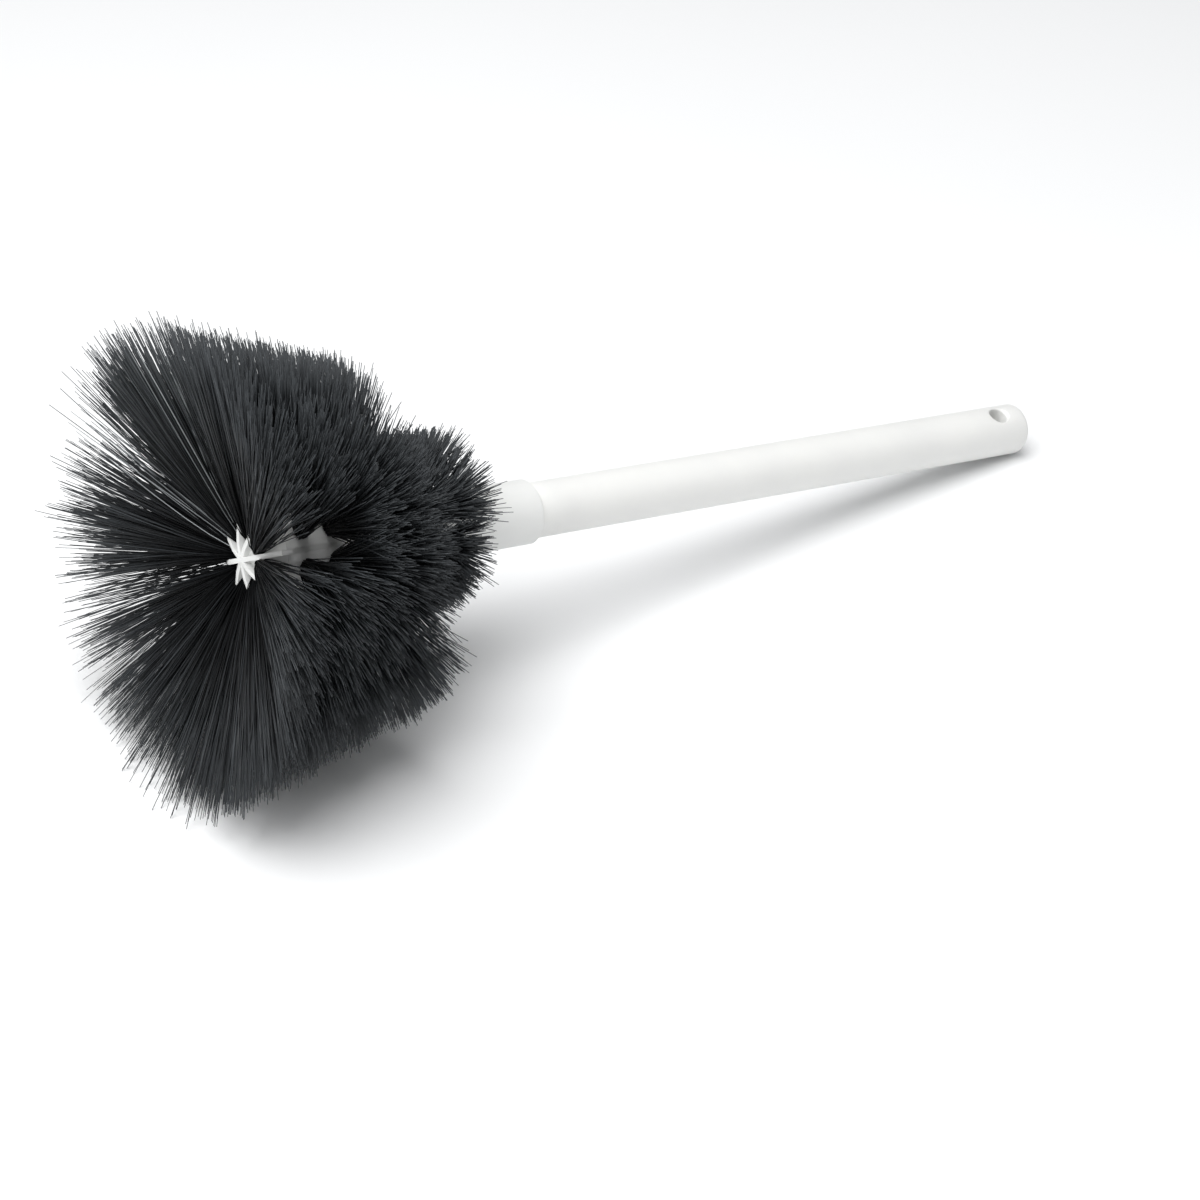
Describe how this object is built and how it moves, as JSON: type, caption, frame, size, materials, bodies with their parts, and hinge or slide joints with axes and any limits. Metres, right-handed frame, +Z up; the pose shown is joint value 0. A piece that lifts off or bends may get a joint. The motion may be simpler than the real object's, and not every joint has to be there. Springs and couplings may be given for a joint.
{
  "type": "round bristle brush",
  "caption": "Long-handled round brush: white drilled core with radial black bristle tufts in a big front and small rear section, and a round white handle with a hanging hole.",
  "frame": {"origin": "on the surface the brush lies on, below the middle of its bounding box", "axes": "+Z up; +X from the bristle head towards the handle end, level (the brush's own axis falls about 10 degrees towards the handle end); Y across"},
  "size_m": [0.41, 0.1698, 0.1651],
  "materials": {
    "white_handle": "satin",
    "white_core": "satin",
    "black_bristle": "matte"
  },
  "bodies": {
    "root": {"head_core": "white_core", "handle": "white_handle", "ring1_tuft1": "black_bristle", "ring1_tuft2": "black_bristle", "ring1_tuft3": "black_bristle", "ring1_tuft4": "black_bristle", "ring1_tuft5": "black_bristle", "ring1_tuft6": "black_bristle", "ring1_tuft7": "black_bristle", "ring1_tuft8": "black_bristle", "ring2_tuft1": "black_bristle", "ring2_tuft2": "black_bristle", "ring2_tuft3": "black_bristle", "ring2_tuft4": "black_bristle", "ring2_tuft5": "black_bristle", "ring2_tuft6": "black_bristle", "ring2_tuft7": "black_bristle", "ring2_tuft8": "black_bristle", "ring3_tuft1": "black_bristle", "ring3_tuft2": "black_bristle", "ring3_tuft3": "black_bristle", "ring3_tuft4": "black_bristle", "ring3_tuft5": "black_bristle", "ring3_tuft6": "black_bristle", "ring3_tuft7": "black_bristle", "ring3_tuft8": "black_bristle", "ring4_tuft1": "black_bristle", "ring4_tuft2": "black_bristle", "ring4_tuft3": "black_bristle", "ring4_tuft4": "black_bristle", "ring4_tuft5": "black_bristle", "ring4_tuft6": "black_bristle", "ring4_tuft7": "black_bristle", "ring4_tuft8": "black_bristle", "ring5_tuft1": "black_bristle", "ring5_tuft2": "black_bristle", "ring5_tuft3": "black_bristle", "ring5_tuft4": "black_bristle", "ring5_tuft5": "black_bristle", "ring5_tuft6": "black_bristle", "ring5_tuft7": "black_bristle", "ring5_tuft8": "black_bristle", "ring6_tuft1": "black_bristle", "ring6_tuft2": "black_bristle", "ring6_tuft3": "black_bristle", "ring6_tuft4": "black_bristle", "ring6_tuft5": "black_bristle", "ring6_tuft6": "black_bristle", "ring6_tuft7": "black_bristle", "ring6_tuft8": "black_bristle", "ring7_tuft1": "black_bristle", "ring7_tuft2": "black_bristle", "ring7_tuft3": "black_bristle", "ring7_tuft4": "black_bristle", "ring7_tuft5": "black_bristle", "ring7_tuft6": "black_bristle", "ring7_tuft7": "black_bristle", "ring7_tuft8": "black_bristle"}
  },
  "joints": []
}
